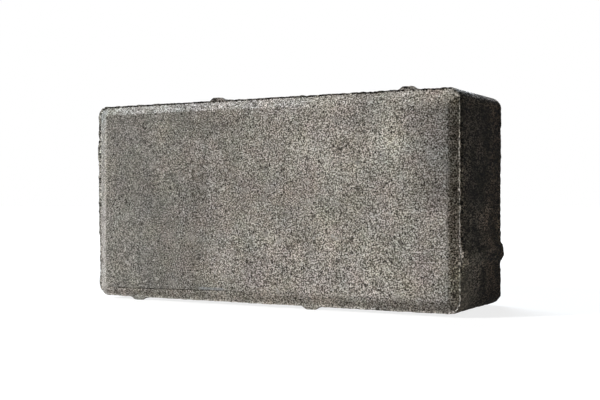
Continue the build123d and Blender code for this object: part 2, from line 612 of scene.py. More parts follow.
pit = np.zeros(len(form))
for across_mm, up_mm, radius_mm in PITS:
    from_pit = np.hypot(form[:, 0] - across_mm * MM, form[:, 2] - up_mm * MM)
    pit = np.maximum(pit, on_wear * smooth_step(PIT_STEEPNESS * (1 - from_pit / (radius_mm * MM))))
print("points in pits:", int((pit > 0).sum()))

# %% Add up the depth of each skin
WAVE_DEPTH = 0.16 * MM
SAND_DEPTH = 0.05 * MM
SIDE_DEPTH = 0.50 * MM
DRAG_DEPTH = 0.30 * MM
BED_DEPTH = 0.80 * MM
WEAR_GRIT_SHARE = 0.5
BEVEL_SAND_SHARE = 0.7
BED_SAND_SHARE = 2
CREST_SHARE = 0.4  # of the side's roughness, where it ends at the crest of the rim

side_depth = SIDE_DEPTH * chip_lumps * grit_lumps + DRAG_DEPTH * drag_marks + SAND_DEPTH * sand
bed_depth = BED_DEPTH * chip_lumps * grit_lumps + BED_SAND_SHARE * SAND_DEPTH * sand
near_crest = np.where(ring_number == crest_ring, CREST_SHARE, 1.0)
depth = WAVE_DEPTH * slow_wave
depth += on_wear * SAND_DEPTH * (sand + WEAR_GRIT_SHARE * grit_lumps)
depth += on_bevel * SAND_DEPTH * BEVEL_SAND_SHARE * sand
depth += on_wall * near_crest * (side_depth - side_depth.mean() - WAVE_DEPTH / 2)
depth += on_bed * bed_depth
depth += PIT_DEPTH * pit
print("deepest, mm:", round(float(depth.max()) / MM, 2))

# %% How hollow each point is, for dirt and painted shade
SAND_HOLLOW = 0.3
PIT_HOLLOW = 1.6

hollow = on_wear * sand * SAND_HOLLOW + PIT_HOLLOW * pit
hollow += on_wall * side_depth / (SIDE_DEPTH + DRAG_DEPTH)
hollow += on_bed * bed_depth / BED_DEPTH
print("hollow, mean:", round(float(hollow.mean()), 2))

# %% [markdown]
# ## The mesh
#
# The net now becomes a Blender mesh. Each ring is joined to the next by squares, and the two grids are
# sewn to the first and last ring by sharing their points, so the skin is closed and has no loose edge.
# The points are then moved along their own normals by the depth worked out above.

# %% Squares between the points


def grid_numbers(ring_start, inner_start):
    """Point numbers of a grid: its border takes the ring's numbers, and the inside has its own."""
    numbers = np.zeros((COLUMNS + 1, ROWS + 1), int)
    numbers[1:-1, 1:-1] = inner_start + np.arange((COLUMNS - 1) * (ROWS - 1)).reshape(COLUMNS - 1, ROWS - 1)
    border = ring_start + np.arange(ring_size)
    numbers[:, 0] = border[: COLUMNS + 1]
    numbers[-1, :] = border[COLUMNS : COLUMNS + ROWS + 1]
    numbers[:, -1] = border[COLUMNS + ROWS : 2 * COLUMNS + ROWS + 1][::-1]
    numbers[0, 1:] = border[2 * COLUMNS + ROWS :][::-1]
    return numbers


def grid_faces(numbers):
    """The squares of a grid, each turned to look towards -Y."""
    corners = (numbers[:-1, :-1], numbers[1:, :-1], numbers[1:, 1:], numbers[:-1, 1:])
    return np.stack(corners, -1).reshape(-1, 4)


band_faces = []
for number in range(len(rings) - 1):
    here = number * ring_size + np.arange(ring_size)
    after = number * ring_size + np.roll(np.arange(ring_size), -1)
    band_faces.append(np.stack([here, after, after + ring_size, here + ring_size], -1))
wear_faces = grid_faces(grid_numbers((len(rings) - 1) * ring_size, wear_start))
bed_faces = grid_faces(grid_numbers(0, bed_start))[:, ::-1]
faces = np.concatenate(band_faces + [wear_faces, bed_faces])
print("squares:", len(faces), "triangles:", 2 * len(faces))

# %% Build the stone and move its points
CRISP_EDGE = math.radians(40)  # edges sharper than this shade as edges

stone_mesh = bpy.data.meshes.new("pressed_stone")
stone_mesh.from_pydata(form.tolist(), [], faces.tolist())
outward = np.zeros(len(form) * 3)
stone_mesh.vertex_normals.foreach_get("vector", outward)
outward = outward.reshape(-1, 3)
rough = np.clip(form - outward * depth[:, None], stone_low, stone_high)
stone_mesh.vertices.foreach_set("co", rough.ravel())
stone_mesh.update()
stone_mesh.shade_smooth()
stone_mesh.set_sharp_from_angle(angle=CRISP_EDGE)

stone = bpy.data.objects.new("pressed_stone", stone_mesh)
bpy.context.scene.collection.objects.link(stone)
print("stone built, faces:", len(stone_mesh.polygons))

# %% [markdown]
# ## A flat pattern for baked colours
#
# The material below needs no pattern, because its textures live in space. An exported stone does: its
# colours are baked to one square picture. An automatic unwrap would cut a rough mesh like this into
# thousands of scraps. The stone is a box, so its pattern is that of a box: front, bed, two long sides and
# two ends, each in one piece.

# %% Lay the pattern out
PATTERN_GAP = 3 * MM
wall_reach = bed_y - crest_y
pattern_width = stone_size.x + PATTERN_GAP + wall_reach
pattern_height = 2 * (stone_size.z + wall_reach) + 3 * PATTERN_GAP
upper_row = stone_size.z + PATTERN_GAP
strip_row = 2 * upper_row
WALL_PLACES = {
    "bottom": (0, strip_row),
    "top": (0, strip_row + wall_reach + PATTERN_GAP),
    "right": (stone_size.x + PATTERN_GAP, 0),
    "left": (stone_size.x + PATTERN_GAP, upper_row),
}


def wall_pattern(side):
    """Flat places of a side's squares, four corners each, set where that side goes on the pattern."""
    squares = SIDES[side][2]
    length = stone_size.x if squares == COLUMNS else stone_size.z
    count = np.arange(squares)
    along = np.stack([count, count + 1, count + 1, count], -1) * (length / squares)
    down = bed_y - np.stack([WALL_DEPTHS[:-1], WALL_DEPTHS[:-1], WALL_DEPTHS[1:], WALL_DEPTHS[1:]], -1)
    along = np.broadcast_to(along[None], (crest_ring, squares, 4))
    down = np.broadcast_to(down[:, None], (crest_ring, squares, 4))
    axes = (along, down) if squares == COLUMNS else (down, along)
    return np.stack(axes, -1) + np.array(WALL_PLACES[side])


print("pattern, mm:", round(pattern_width / MM, 1), "x", round(pattern_height / MM, 1))

# %% Put it on the mesh
wall_flat = np.concatenate([wall_pattern(side) for side in SIDES], 1).reshape(-1, 4, 2)
from_low = rough[faces] - np.array(stone_low)
front_flat = from_low[..., [0, 2]]
bed_flat = front_flat * np.array((-1, 1)) + np.array((stone_size.x, upper_row))
flat = front_flat.copy()
flat[: len(wall_flat)] = wall_flat
flat[-len(bed_faces) :] = bed_flat[-len(bed_faces) :]
flat /= np.array((pattern_width, pattern_height))
pattern = stone_mesh.uv_layers.new(name="OFBake")
pattern.data.foreach_set("uv", flat.ravel())
corners = flat.reshape(-1, 2)
print("pattern spans:", [round(float(v), 3) for v in corners.max(0) - corners.min(0)])

# %% Write the masks on the mesh
TURNED_RIGHT = (0.25, 0.65)  # how far right a point looks, at the start and at the full strength of the mask
looks_right = (outward[:, 0] - TURNED_RIGHT[0]) / (TURNED_RIGHT[1] - TURNED_RIGHT[0])
masks = {
    "side_wall": on_wall,
    "right_end": (on_wall + on_bevel) * smooth_step(looks_right),
    "bevel_skin": on_bevel,
    "torn_rim": on_rim,
    "hollow": hollow,
}
for name, mask in masks.items():
    values = np.clip(mask, 0, 1).astype(np.float32)
    stone_mesh.attributes.new(name, "FLOAT", "POINT").data.foreach_set("value", values)
print("masks:", list(masks))

# %% [markdown]
# ## Concrete, one layer at a time
#
# Seen close, the stone is sand held by grey cement. Over that lie patches, pebbles and pits, the dense
# skin of the bevel, and the dirt of the sides. A photograph of concrete could be laid on, but it would
# not fit the form and would repeat. Nodes that work from the place in space fit every face and never
# repeat. Each layer below takes the colour so far and changes it, and a few short functions keep that
# readable.

# %% Start the material
concrete = bpy.data.materials.new("concrete")
concrete.use_nodes = True
stone_mesh.materials.append(concrete)
tree = concrete.node_tree
shader = tree.nodes["Principled BSDF"]


def add_node(tree, kind, inputs=None, **options):
    """Adds a node, sets its options, and fills its input sockets with values or links."""
    node = tree.nodes.new(kind)
    for option, choice in options.items():
        setattr(node, option, choice)
    for socket, value in (inputs or {}).items():
        if isinstance(value, bpy.types.NodeSocket):
            tree.links.new(value, node.inputs[socket])
        else:
            node.inputs[socket].default_value = value
    return node


print("material:", concrete.name)

# %% Sums with numbers
RISING = (0.0, 1.0)
FALLING = (1.0, 0.0)


def maths(operation, first, second=0.0):
    """One sum on two numbers."""
    return add_node(tree, "ShaderNodeMath", {0: first, 1: second}, operation=operation).outputs[0]


def product(first, *others):
    """Numbers multiplied together."""
    for other in others:
        first = maths("MULTIPLY", first, other)
    return first


def from_to(value, span, result):
    """A number moved from one range to another, and held inside it."""
    sockets = dict(zip(("Value", "From Min", "From Max", "To Min", "To Max"), (value, *span, *result)))
    return add_node(tree, "ShaderNodeMapRange", sockets).outputs["Result"]


def away_from(value, middle):
    """How far a number lies from a middle, on either side."""
    return maths("ABSOLUTE", maths("SUBTRACT", value, middle))


print("a mask rises", RISING, "or falls", FALLING)

# %% Sums with colours
MIX_SHARE, MIX_FIRST, MIX_SECOND = 0, 6, 7  # the inputs of a Mix node that are for colours
MIX_RESULT = 2  # and its output


def times(colour, other):
    """A colour times another colour."""
    return add_node(tree, "ShaderNodeVectorMath", {0: colour, 1: other}, operation="MULTIPLY").outputs[0]


def scaled(colour, value):
    """A colour times a number."""
    return add_node(tree, "ShaderNodeVectorMath", {0: colour, "Scale": value}, operation="SCALE").outputs[0]


def blend(share, first, second):
    """A mix of two colours."""
    second = second if isinstance(second, bpy.types.NodeSocket) else (*second, 1)
    sockets = {MIX_SHARE: share, MIX_FIRST: first, MIX_SECOND: second}
    return add_node(tree, "ShaderNodeMix", sockets, data_type="RGBA").outputs[MIX_RESULT]


def shaded(colour, tone, mask):
    """A colour times a number, where a mask lets it."""
    return scaled(colour, from_to(mask, RISING, (1.0, tone)))


def tinted(colour, tint, mask):
    """A colour times another colour, where a mask lets it."""
    return blend(mask, colour, times(colour, tint))


print("nodes so far:", len(tree.nodes))

# %% Textures, masks and ramps
ROUGH_CLOUDS = 0.6  # how strong the smaller clouds are


def mask_on(name):
    """A mask that was written on the mesh."""
    return add_node(tree, "ShaderNodeAttribute", attribute_name=name).outputs["Fac"]


def clouds(where, size, detail, output="Fac"):
    """Soft noise with clouds of about this size, and smaller ones on them."""
    sockets = {"Vector": where, "Scale": 1 / size, "Detail": detail, "Roughness": ROUGH_CLOUDS}
    return add_node(tree, "ShaderNodeTexNoise", sockets).outputs[output]


def cells(where, size):
    """A packing of cells: how far a place is from its cell's middle, and a random colour for each cell."""
    outputs = add_node(tree, "ShaderNodeTexVoronoi", {"Vector": where, "Scale": 1 / size}).outputs
    return outputs["Distance"], add_node(tree, "ShaderNodeSeparateColor", {"Color": outputs["Color"]}).outputs


def ramp(value, stops):
    """A colour for each value from 0 to 1."""
    node = add_node(tree, "ShaderNodeValToRGB", {"Fac": value})
    elements = node.color_ramp.elements
    for position, colour in stops[len(elements) :]:
        elements.new(position)
    for element, (position, colour) in zip(elements, stops):
        element.position = position
        element.color = (*colour, 1)
    return node.outputs["Color"]


print("nodes so far:", len(tree.nodes))

# %% Places on the stone
SIDE_CONTRAST = 0.3  # the right end is the dirtiest; the other sides have this share of its marks
place = add_node(tree, "ShaderNodeTexCoord").outputs["Object"]
place_x, place_y, place_z = add_node(tree, "ShaderNodeSeparateXYZ", {"Vector": place}).outputs
side_wall = mask_on("side_wall")
bevel_skin = mask_on("bevel_skin")
torn_rim = mask_on("torn_rim")
on_end = mask_on("right_end")
right_bevel = product(bevel_skin, on_end)
end_wall = product(on_end, side_wall)
off_sides = from_to(side_wall, RISING, FALLING)
off_bevel = from_to(bevel_skin, RISING, FALLING)
off_rim = from_to(torn_rim, RISING, FALLING)
on_front = maths("LESS_THAN", place_y, foot_y)
coarse_side = product(side_wall, from_to(on_end, RISING, (SIDE_CONTRAST, 1.0)))
print("nodes so far:", len(tree.nodes))

# %% [markdown]
# ## Sand grains
#
# Each grain of sand has its own tone, some warm and some cool, and dark joints lie between them. Grains
# could be scattered as tiny meshes, but there are millions of them. Noise at the size of a grain, sent
# through a ramp from joint to grain, looks the same from a hand's breadth away. On the sides the mould
# wall smears the grains along the way that the stone was pushed out, so there the noise is drawn out.

# %% Tone of the sand
GRAIN = 0.31 * MM
SAND_GRAIN = 0.62 * MM
GRAIN_DRAG = 0.35  # on the sides each grain is smeared along Y
SAND_SPAN = (0.26, 0.74)
SAND_COLOURS = (
    (0.0, (0.050, 0.045, 0.038)),
    (0.25, (0.110, 0.100, 0.085)),
    (0.45, (0.199, 0.183, 0.158)),
    (0.60, (0.280, 0.259, 0.229)),
    (0.78, (0.405, 0.380, 0.343)),
    (1.0, (0.59, 0.565, 0.525)),
)  # from joint to grain
GRAIN_TINTS = (
    (0.0, (1.03, 0.995, 0.965)),
    (0.35, (1.0, 1.0, 1.0)),
    (0.65, (1.0, 1.0, 1.0)),
    (1.0, (0.98, 1.0, 1.025)),
)  # from warm to cool

drag = from_to(coarse_side, RISING, (1.0, GRAIN_DRAG))
smear = add_node(tree, "ShaderNodeCombineXYZ", {"X": 1.0, "Y": drag, "Z": 1.0}).outputs[0]
smeared_place = times(place, smear)
grain_distance, grain_random = cells(smeared_place, GRAIN)
sand_tone = from_to(clouds(smeared_place, SAND_GRAIN, detail=0), SAND_SPAN, RISING)
colour = times(ramp(sand_tone, SAND_COLOURS), ramp(grain_random[1], GRAIN_TINTS))
print("grain, mm:", round(SAND_GRAIN / MM, 2))

# %% Bare grains on the right bevel, and cement smeared over them on the sides
BARE_TONES = (0.6, 1.4)  # the right bevel has lost its cement, so its grains stand out more
SMEARED_COLOUR = (0.235, 0.217, 0.188)
SMEARED_SHARE = 0.55
JOINT_SPAN = (0.27, 0.47)
JOINT_TONES = (0.0, 1.24)

colour = shaded(colour, from_to(sand_tone, RISING, BARE_TONES), right_bevel)
smeared = blend(SMEARED_SHARE, colour, SMEARED_COLOUR)
smeared = scaled(smeared, from_to(sand_tone, JOINT_SPAN, JOINT_TONES))
colour = blend(coarse_side, colour, smeared)
print("smeared with cement:", SMEARED_SHARE)

# %% [markdown]
# ## Patches and clouds
#
# The mix is never even. Patches of a centimetre differ in hue, larger clouds differ in tone, and the left
# third of this stone is calmer and darker than the rest. One large noise would give clouds, but not in
# the right places. So noise gives what may lie anywhere, and a few soft ovals give the light and dark
# blotches by which this one can be told from others.

# %% Uneven hue and tone
PATCH = 13 * MM
PATCH_LEAST = (0.905, 0.9425, 0.90)
PATCH_SWING = (0.19, 0.115, 0.20)
CLOUD = 20 * MM
CLOUD_SPAN = (0.3, 0.7)
CLOUD_TONES = (0.75, 1.25)

patch_sockets = {0: clouds(place, PATCH, 2, "Color"), 1: PATCH_SWING, 2: PATCH_LEAST}
patch_tint = add_node(tree, "ShaderNodeVectorMath", patch_sockets, operation="MULTIPLY_ADD").outputs[0]
cloud = clouds(place, CLOUD, detail=3)
colour = scaled(times(colour, patch_tint), from_to(cloud, CLOUD_SPAN, CLOUD_TONES))
print("patches and clouds, mm:", round(PATCH / MM), round(CLOUD / MM))

# %% The calm, darker left third
CALM_COLOUR = (0.186, 0.194, 0.182)
CALM_SPAN = (-72 * MM, -22 * MM)  # from the middle of the stone
CALM_SHARES = (0.25, 0.0)
CALM_TONES = (0.85, 1.03)
CALM_WANDER = (-30 * MM, 30 * MM)

left_place = maths("ADD", place_x, from_to(cloud, RISING, CALM_WANDER))
calm = product(from_to(left_place, CALM_SPAN, CALM_SHARES), off_bevel)
colour = scaled(blend(calm, colour, CALM_COLOUR), from_to(left_place, CALM_SPAN, CALM_TONES))
print("darker left of, mm:", round(CALM_SPAN[1] / MM))

# %% Lighter and darker blotches of the wear face
BLOTCHES = (
    ((-35, 40), (13, 70), 0.74),
    ((32, 74), (19, 17), 1.34),
    ((66, 77), (24, 17), 1.14),
    ((-79, 29), (20, 16), 1.20),
    ((-58, 82), (17, 16), 0.88),
    ((15, 33), (12, 14), 1.12),
    ((86, 92), (12, 8), 0.86),
    ((52, 20), (48, 24), 1.12),
)  # middle, and half width and height, in millimetres across and up, and how light
BLOTCH_SPAN = (0.2, 1.0)  # share of the way out, over which a blotch fades

for (across_mm, up_mm), (half_across, half_up), lightness in BLOTCHES:
    middle_sockets = {0: place, 1: (across_mm * MM, 0, up_mm * MM)}
    from_middle = add_node(tree, "ShaderNodeVectorMath", middle_sockets, operation="SUBTRACT").outputs[0]
    shrunk = times(from_middle, (1 / (half_across * MM), 0, 1 / (half_up * MM)))
    far = add_node(tree, "ShaderNodeVectorMath", {0: shrunk}, operation="LENGTH").outputs["Value"]
    colour = shaded(colour, from_to(far, BLOTCH_SPAN, (lightness, 1.0)), on_front)
print("blotches:", len(BLOTCHES))

# %% [markdown]
# ## Pebbles, specks and lime
#
# Among the sand lie a few pale pebbles and holes of about a millimetre, many finer pores, a few bright
# specks, and soft patches where lime has bloomed. The holes and fine pores are dark specks of painted shade.
# Painting each by hand would take days. A packing of cells gives each cell a random number, and only
# cells with a very low or a very high one get a spot.

# %% Light pebbles, and painted shade in holes
PEBBLE = 3.2 * MM
PEBBLE_SHARE = 0.05  # of the cells, and as many have a hole
PEBBLE_COLOUR = (0.40, 0.39, 0.36)
# the colour of painted shade in holes and fine pores
PORE_SHADE_COLOUR = (0.03, 0.027, 0.024)
PEBBLE_SPAN = (0.18, 0.38)
PEBBLE_SHARES = (0.75, 0.0)

pebble_distance, pebble_random = cells(place, PEBBLE)
spot = from_to(pebble_distance, PEBBLE_SPAN, PEBBLE_SHARES)
pebble = product(spot, maths("GREATER_THAN", pebble_random[0], 1 - PEBBLE_SHARE))
hole_shade = product(spot, maths("LESS_THAN", pebble_random[0], PEBBLE_SHARE))
colour = blend(pebble, colour, PEBBLE_COLOUR)
# holes are painted dark, as painted shade
colour = blend(hole_shade, colour, PORE_SHADE_COLOUR)
print("pebbles and holes, mm apart:", round(PEBBLE / MM, 1))

# %% Specks of painted shade, and bright specks
SPECK = 1.3 * MM
SPECK_SPAN = (0.28, 0.44)
SPECK_SHARES = (0.97, 0.0)
DARK_SHARES = (0.09, 0.125)  # of the cells, in the calm third and right of it
BRIGHT_SHARE = 0.035
BRIGHT_COLOUR = (0.52, 0.505, 0.47)

speck_distance, speck_random = cells(smeared_place, SPECK)
speck = from_to(speck_distance, SPECK_SPAN, SPECK_SHARES)
dark_share = from_to(left_place, CALM_SPAN, DARK_SHARES)
speck_shade = product(speck, maths("LESS_THAN", speck_random[0], dark_share))
bright_speck = product(speck, maths("GREATER_THAN", speck_random[0], 1 - BRIGHT_SHARE), off_sides)
# dark specks are painted shade of fine pores
colour = blend(speck_shade, colour, PORE_SHADE_COLOUR)
colour = blend(bright_speck, colour, BRIGHT_COLOUR)
print("specks, mm apart:", round(SPECK / MM, 1))

# %% Lime bloom
BLOOM = 6 * MM
BLOOM_SPAN = (0.60, 0.72)
BLOOM_SHARES = (0.0, 0.45)
BLOOM_COLOUR = (0.33, 0.315, 0.29)

bloom = from_to(clouds(place, BLOOM, detail=1), BLOOM_SPAN, BLOOM_SHARES)
colour = blend(product(bloom, off_sides), colour, BLOOM_COLOUR)
print("lime bloom, mm:", round(BLOOM / MM))

# %% [markdown]
# ## The dense skin of the bevel
#
# The tamper shoe shakes on the bevel and draws cement to its surface, which dries pale and smooth. On
# this stone the skin is best kept at the left and worn away towards the right end, where a dull patch
# lies by the upper arris. A second material on the bevel's faces would end in a hard line. A mask that
# fades along the stone doesn't.

# %% Pale skin that fades towards the right
SKIN_SPAN = (-60 * MM, 70 * MM)  # from the middle of the stone
SKIN_SHARES = (1.3, -0.15)
SKIN_TONE = 1.55
TOP_TINT = (1.04, 1.095, 1.155)  # along the top it is nearly pure cement, paler and cooler than sand
TOP_FADE = 2 * arris_inset

skin = product(bevel_skin, from_to(place_x, SKIN_SPAN, SKIN_SHARES))
colour = shaded(colour, SKIN_TONE, skin)
top_edge = stone_high.z - arris_inset
top_bevel = from_to(place_z, (top_edge - TOP_FADE, top_edge), RISING)
colour = tinted(colour, TOP_TINT, product(skin, top_bevel))
print("bevel skin fades to, mm:", round(SKIN_SPAN[1] / MM))

# %% The smooth, blotchy left bevel
SMOOTH_SPAN = (-95 * MM, -92 * MM)  # from the middle of the stone
SMOOTH_BLOTCH = 4 * MM
SMOOTH_SPREAD = (0.38, 0.58)
SMOOTH_SHARES = (0.1, 0.5)
SMOOTH_COLOURS = (
    (0.0, (0.33, 0.32, 0.30)),
    (0.42, (0.31, 0.30, 0.285)),
    (0.58, (0.16, 0.155, 0.147)),
)  # from the floor to the top
LEFT_SPREAD = (0.35, 0.65)
LEFT_TONES = (0.7, 1.3)
LEFT_TINT = (1.0, 1.02, 1.065)

left_bevel = product(from_to(place_x, SMOOTH_SPAN, FALLING), bevel_skin)
left_blotch = clouds(place, SMOOTH_BLOTCH, detail=2)
colour = shaded(colour, from_to(left_blotch, LEFT_SPREAD, LEFT_TONES), left_bevel)
colour = tinted(colour, LEFT_TINT, left_bevel)
height_share = from_to(place_z, (stone_low.z, stone_high.z), RISING)
smooth_share = product(skin, left_bevel, from_to(left_blotch, SMOOTH_SPREAD, SMOOTH_SHARES))
colour = blend(smooth_share, colour, ramp(height_share, SMOOTH_COLOURS))
print("blotches on the left bevel, mm:", round(SMOOTH_BLOTCH / MM))

# %% A dull patch by the upper right arris
DULL_ACROSS = (70 * MM, 92 * MM)  # from the middle of the stone
DULL_UP = (40 * MM, 66 * MM)  # above the floor
DULL_SHARES = (0.3, 1.0)
DULL_END = (90 * MM, 95 * MM)
DULL_TINT = (0.66, 0.675, 0.70)
DULL_BEVEL = 0.78  # the bevel is duller still

high_up = product(from_to(place_z, DULL_UP, DULL_SHARES), from_to(place_z, DULL_END, FALLING))
dull = product(from_to(place_x, DULL_ACROSS, RISING), high_up, off_rim)
colour = tinted(colour, DULL_TINT, dull)
colour = shaded(colour, DULL_BEVEL, product(dull, bevel_skin))
print("dull from, mm:", round(DULL_ACROSS[0] / MM))

# %% [markdown]
# ## Stains and streaks on the sides
#
# The mould wall drags at the sides as the stone is pushed out. It leaves streaks along that way, open
# pores, and stains where oil and water ran. They could be painted on the flat pattern, but would then
# stop at its seams. Noise in space runs round the corners. The right end shows it all, and the other
# sides only a share.

# %% Marks of the mould wall
STAIN = 13 * MM
STAIN_SPAN = (0.38, 0.60)
STAIN_TONES = (0.36, 1.25)
STREAK = 2.4 * MM
STREAK_SPAN = (0.3, 0.7)
STREAK_TONES = (0.8, 1.15)
MOTTLE = 0.95 * MM
MOTTLE_SPAN = (0.40, 0.50)
MOTTLE_TONES = (0.05, 1.32)

drawn_out = add_node(tree, "ShaderNodeMapping", {"Vector": place, "Scale": tuple(DRAG_SHARES)}).outputs[0]
stain = from_to(clouds(place, STAIN, detail=4), STAIN_SPAN, STAIN_TONES)
streak = from_to(clouds(drawn_out, STREAK, detail=2), STREAK_SPAN, STREAK_TONES)
mottle = from_to(clouds(smeared_place, MOTTLE, detail=3), MOTTLE_SPAN, MOTTLE_TONES)
print("stains, streaks and mottle, mm:", [round(v / MM, 1) for v in (STAIN, STREAK, MOTTLE)])

# %% Painted shade in open pores, and the damp towards the bed face
PORE = 2.4 * MM
PORE_SPAN = (0.30, 0.46)
PORE_SHADE_TONES = (0.05, 1.0)
CLOSED_SHARE = 0.75  # of the cells have no pore
DAMP_TONES = (1.12, 0.78)  # from rim to bed

pore_distance, pore_random = cells(smeared_place, PORE)
closed = maths("LESS_THAN", pore_random[0], CLOSED_SHARE)
# open pores are painted dark, as painted shade
pore_shade = maths("MAXIMUM", from_to(pore_distance, PORE_SPAN, PORE_SHADE_TONES), closed)
damp = from_to(place_y, (foot_y, bed_y), DAMP_TONES)
colour = shaded(colour, product(stain, streak, pore_shade, damp, mottle), coarse_side)
print("pores, mm apart:", round(PORE / MM, 1))

# %% [markdown]
# ## The right end
#
# This end is the dirtiest. It is brown towards the bed face and nearly black higher up. Low down by the
# rim it is lighter, partly from dust and partly from painted bounce light off the floor; the lower flank of
# its nib carries painted bounce light, and its top edge a painted cool highlight. Dirt could be a layer of
# its own with its own shader. As it is as matt as the concrete, it only has to change the colour, by where it
# lies.

# %% Brown towards the bed face, rubbed light at the corners of the bevel
END_TINTS = (
    (0.0, (1.0, 0.96, 0.88)),
    (0.35, (1.0, 0.97, 0.94)),
    (1.0, (1.0, 0.85, 0.74)),
)  # from wear face to bed face
BEVEL_TONE = 1.1
CORNER_TONE = 1.32
LOW_CORNER = (18 * MM, 28 * MM)  # above the floor
HIGH_CORNER = (82 * MM, 92 * MM)

depth_share = from_to(place_y, (wear_y, bed_y), RISING)
colour = tinted(colour, ramp(depth_share, END_TINTS), on_end)
low_corner = from_to(place_z, LOW_CORNER, (CORNER_TONE, BEVEL_TONE))
high_corner = from_to(place_z, HIGH_CORNER, (BEVEL_TONE, CORNER_TONE))
colour = shaded(colour, maths("MAXIMUM", low_corner, high_corner), right_bevel)
print("bevel of the right end, tone:", BEVEL_TONE, "to", CORNER_TONE)

# %% Dust and painted bounce light low down, and the dark above it
DUST_AND_BOUNCE_UP = (4 * MM, 34 * MM)  # above the floor
DUST_AND_BOUNCE_BACK = (-18 * MM, 12 * MM)  # along Y
DUST_AND_BOUNCE_SHARES = (0.65, -0.75)  # at the rim it is lighter, partly dust and partly painted bounce light, and at the bed it is darker than the rest
DUST_AND_BOUNCE_COLOUR = (0.25, 0.235, 0.205)
LEDGE_HEIGHT = 23 * MM  # of the lower flank of the nib, which gets painted bounce light
LEDGE_HALF = 5 * MM
LEDGE_BACK = -14 * MM
LEDGE_BOUNCE_TONES = (0.9, 0.0)
END_TOP = 96.8 * MM  # above the floor; over that the corner carries a painted highlight
END_BOUNCE_TONES = (1.36, 0.48)  # from the floor up to there: lighter low down as painted bounce light, darker higher up

# lighter low down by the rim: dust and painted bounce light
dust_and_bounce = product(from_to(place_z, DUST_AND_BOUNCE_UP, FALLING), from_to(place_y, DUST_AND_BOUNCE_BACK, DUST_AND_BOUNCE_SHARES))
# painted bounce light on the lower flank of the nib
ledge_bounce = from_to(away_from(place_z, LEDGE_HEIGHT), (0.0, LEDGE_HALF), LEDGE_BOUNCE_TONES)
ledge_bounce = product(ledge_bounce, from_to(place_y, (LEDGE_BACK, 0.0), FALLING))
# the end's tone: painted bounce light low down, darker higher up
end_tone_and_bounce = maths("ADD", from_to(place_z, (stone_low.z, END_TOP), END_BOUNCE_TONES), maths("ADD", dust_and_bounce, ledge_bounce))
print("dusty below, mm:", round(DUST_AND_BOUNCE_UP[1] / MM))

# %% A painted highlight on the top edge
SHEEN_GAIN = 3.4
SHEEN_SOFT = 1 * MM
SHEEN_TINT = (0.93, 1.0, 1.14)

# a painted highlight along the rounded top edge of the end
sheen_gain = from_to(place_z, (END_TOP, stone_high.z - 2 * NIB_PROUD), (0.0, SHEEN_GAIN))
colour = shaded(colour, maths("ADD", end_tone_and_bounce, sheen_gain), end_wall)
# dust and painted bounce light low down on the end
colour = blend(product(dust_and_bounce, end_wall), colour, DUST_AND_BOUNCE_COLOUR)
sheen = from_to(place_z, (END_TOP - SHEEN_SOFT, END_TOP + SHEEN_SOFT), RISING)
# the painted highlight is tinted cool, like sky light
colour = tinted(colour, SHEEN_TINT, product(on_end, sheen))
print("washed above, mm:", round(END_TOP / MM, 1))

# %% [markdown]
# ## Crumbs on the rim, and a scuff
#
# The torn rim is a row of crumbs, each pale, with painted shade in the gaps between, and the whole rim is
# darker, as dirt and as painted shade. Where the fin broke off cleanly, at the lower left and along the left
# of the lower edge, the break is pale. The geometry has the larger breaks, and noise a millimetre wide adds
# the crumbs, because points set that close would make the mesh very heavy. A scrape has also left a short
# pale scuff on the lower arris.

# %% A row of crumbs
RIM_SHADE_AND_DIRT_TONES = (0.75, 0.7)  # painted shade and dirt on the rim, a little darker along the top
LEFT_TONE = 1.9  # paler at the left
BEAD = 1.0 * MM
BEAD_SPAN = (0.43, 0.57)
GAP_SHADE_TONES = (0.6, 0.1)  # painted shade between the crumbs, along the floor and above it
BEAD_TONE = 1.42
LEFT_RIM = (RIM_WIDTH - half_length, arris_inset - half_length)
LOW_RIM = (NIB_PROUD, arris_inset)
HIGH_RIM = (stone_high.z - arris_inset, stone_high.z - NIB_PROUD)

gap_shade = from_to(place_z, LOW_RIM, GAP_SHADE_TONES)
crumbs = from_to(clouds(place, BEAD, detail=1), BEAD_SPAN, (gap_shade, BEAD_TONE))
paler = from_to(place_x, LEFT_RIM, (LEFT_TONE, 1.0))
# the rim's tone carries painted shade and dirt, and painted shade between the crumbs
rim_tone = product(from_to(place_z, HIGH_RIM, RIM_SHADE_AND_DIRT_TONES), paler, crumbs)
print("crumbs, mm:", round(BEAD / MM, 1))

# %% Where the fin broke off cleanly
CLEAN_TONE = 1.2
CLEAN_LEFT = (RIM_GONE_BELOW - RIM_GONE_SOFT, RIM_GONE_BELOW + RIM_GONE_SOFT)  # above the floor
CLEAN_LOW = (NIB_PROUD + RIM_WIDTH, NIB_PROUD + arris_inset)
CLEAN_RUN = 40 * MM  # right of the middle, over which the clean lower edge fades
CLEAN_SHARES = (0.9, 0.0)

clean_left = product(from_to(place_x, LEFT_RIM, FALLING), from_to(place_z, CLEAN_LEFT, FALLING))
clean_low = product(from_to(place_z, CLEAN_LOW, FALLING), from_to(place_x, (0.0, CLEAN_RUN), CLEAN_SHARES))
clean = maths("MAXIMUM", clean_left, clean_low)
colour = shaded(colour, from_to(clean, RISING, (rim_tone, CLEAN_TONE)), torn_rim)
print("clean break, tone:", CLEAN_TONE)

# %% A scuff on the lower arris
SCUFF_COLOUR = (0.27, 0.29, 0.30)
SCUFF_SHARES = (0.6, 0.0)
SCUFF_START = (-36 * MM, -34 * MM)  # from the middle of the stone
SCUFF_END = (-22 * MM, -20 * MM)
SCUFF_HEIGHT = 7.8 * MM  # above the floor
SCUFF_HALF = 0.8 * MM

